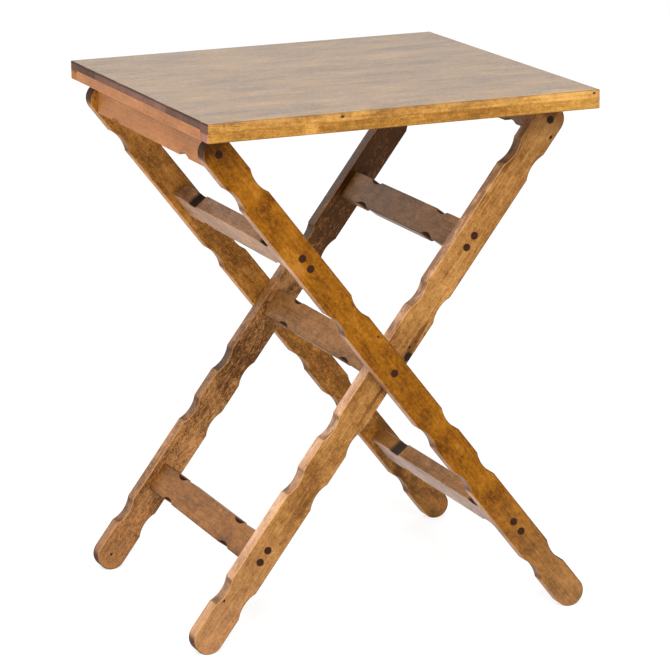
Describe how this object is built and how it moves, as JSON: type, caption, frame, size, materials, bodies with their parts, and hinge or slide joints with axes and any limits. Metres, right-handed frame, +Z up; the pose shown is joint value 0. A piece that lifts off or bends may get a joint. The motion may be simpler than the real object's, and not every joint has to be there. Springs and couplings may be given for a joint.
{
  "type": "folding tray table",
  "caption": "Wooden folding tray table: a slab on two pairs of scalloped legs that scissor flat while the slab tips up.",
  "frame": {"origin": "on the floor under the middle of the slab", "axes": "+Z up; X along the slab's width, the legs' scissor plane; -Y towards the front"},
  "size_m": [0.5112, 0.49, 0.662],
  "materials": {
    "slab_wood": "satin stained maple, long grain across the width",
    "edge_wood": "satin honey-stained maple",
    "leg_wood": "satin golden-brown stained maple, blotchy",
    "rail_wood": "satin brown stained maple",
    "plug_wood": "satin dark stained end grain",
    "dowel_wood": "unfinished",
    "screw_steel": "zinc plated",
    "washer_steel": "zinc plated"
  },
  "bodies": {
    "outer_frame": {"outer_leg_front": "leg_wood", "outer_leg_rear": "leg_wood", "outer_rail_upper": "rail_wood", "outer_rail_lower": "rail_wood", "outer_rail_screws": "screw_steel", "outer_rail_plugs_front": "plug_wood", "outer_rail_plugs_rear": "plug_wood", "scissor_plugs": "plug_wood", "batten_pivot_plugs": "plug_wood"},
    "inner_frame": {"inner_leg_front": "leg_wood", "inner_leg_rear": "leg_wood", "inner_rail_upper": "rail_wood", "inner_rail_lower": "rail_wood", "middle_rail": "rail_wood", "middle_rail_dowels": "dowel_wood", "inner_rail_screws": "screw_steel", "inner_rail_plugs_front": "plug_wood", "inner_rail_plugs_rear": "plug_wood", "bar_pivot_plugs": "plug_wood", "scissor_screws": "screw_steel", "scissor_washers": "washer_steel"},
    "top": {"board_1": "slab_wood", "board_2": "slab_wood", "board_3": "slab_wood", "board_4": "slab_wood", "board_5": "slab_wood", "board_6": "slab_wood", "board_7": "slab_wood", "front_strip": "edge_wood", "rear_strip": "edge_wood", "left_strip": "edge_wood", "right_strip": "edge_wood", "batten": "rail_wood", "batten_screws": "screw_steel", "batten_pivot_screws": "screw_steel", "batten_washers": "washer_steel", "outboard_cleat": "rail_wood", "inboard_cleat": "rail_wood", "cleat_screws": "screw_steel"},
    "support_bar": {"support_bar": "rail_wood", "bar_pivot_screws": "screw_steel", "bar_washers": "washer_steel"}
  },
  "joints": [
    {"name": "scissor_fold", "type": "hinge", "parent": "outer_frame", "child": "inner_frame", "pos_m": [0, 0.014, 0.32904], "axis": [0, -1, 0], "range_deg": [0, 64]},
    {"name": "top_tip", "type": "hinge", "parent": "outer_frame", "child": "top", "pos_m": [-0.219, 0.014, 0.616], "axis": [0, -1, 0], "range_deg": [0, 127]},
    {"name": "bar_swing", "type": "hinge", "parent": "inner_frame", "child": "support_bar", "pos_m": [0.219, 0.014, 0.616], "axis": [0, -1, 0], "range_deg": [-37.3, 0]}
  ],
  "couplings": [
    {"joint": "top_tip", "follows": "scissor_fold", "ratio": 1.98},
    {"joint": "bar_swing", "follows": "scissor_fold", "ratio": -0.58}
  ]
}
